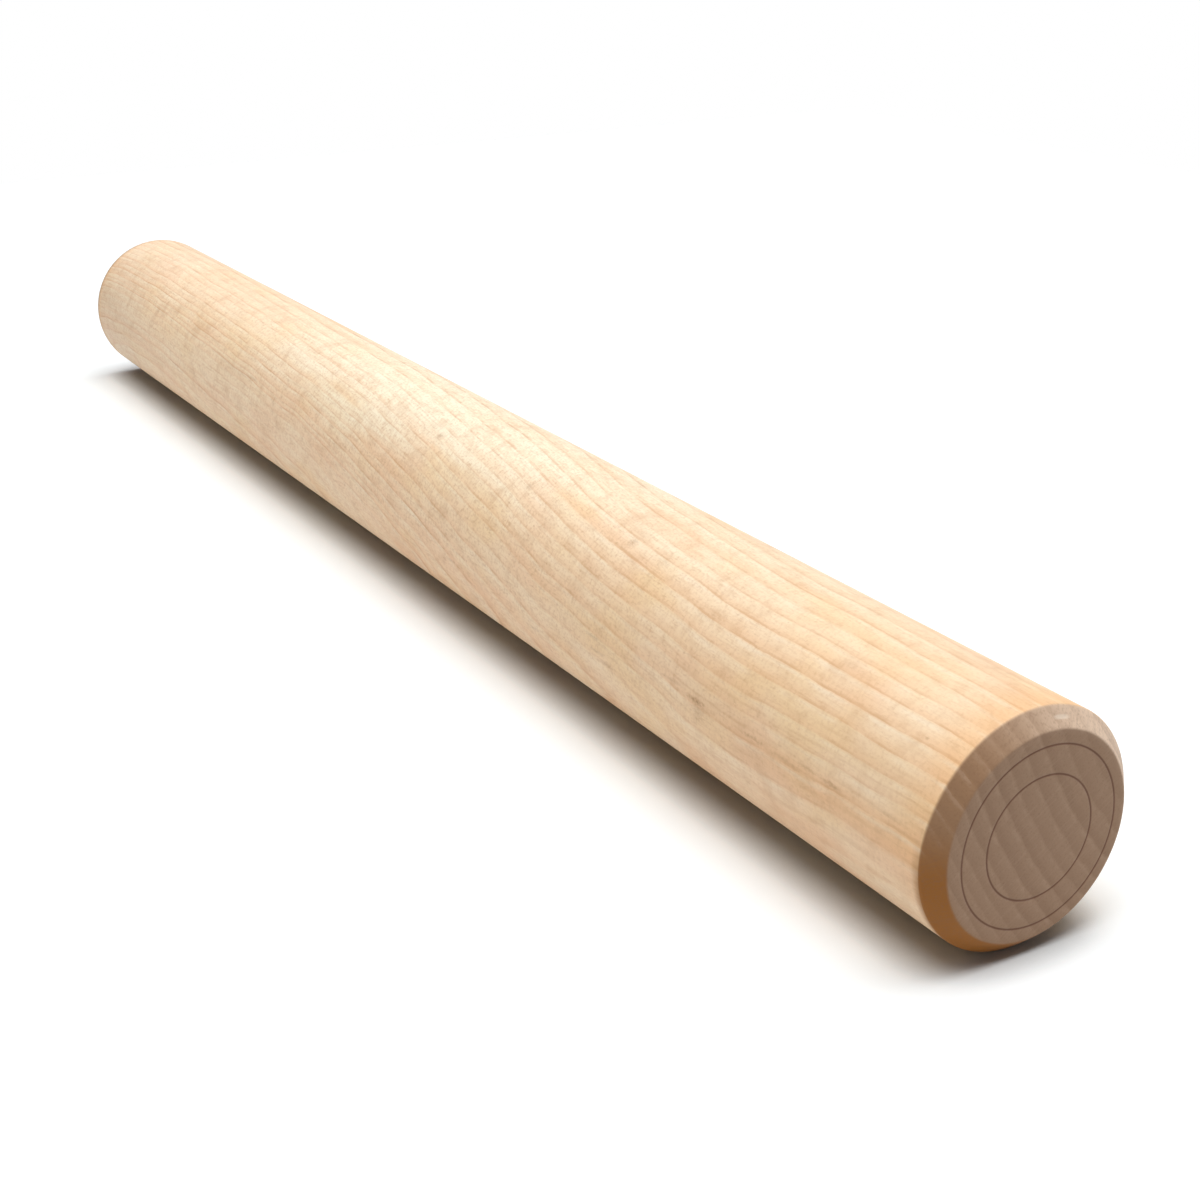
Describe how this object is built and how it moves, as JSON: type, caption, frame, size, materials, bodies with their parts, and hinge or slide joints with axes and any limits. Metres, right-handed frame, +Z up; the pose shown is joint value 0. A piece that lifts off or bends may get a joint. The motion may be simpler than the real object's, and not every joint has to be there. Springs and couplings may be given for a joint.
{
  "type": "dowel rolling pin",
  "caption": "Straight solid maple dowel rolling pin with bevelled ends and no handles, for rolling out dough under the palms.",
  "frame": {"origin": "on the worktop, under the middle of the pin as it lies on its barrel", "axes": "+X along the pin towards the end that is nearest in the picture, +Z up from the worktop"},
  "size_m": [0.4952, 0.0508, 0.0507],
  "materials": {
    "maple": "satin"
  },
  "bodies": {
    "root": {"maple_dowel": "maple"}
  },
  "joints": []
}
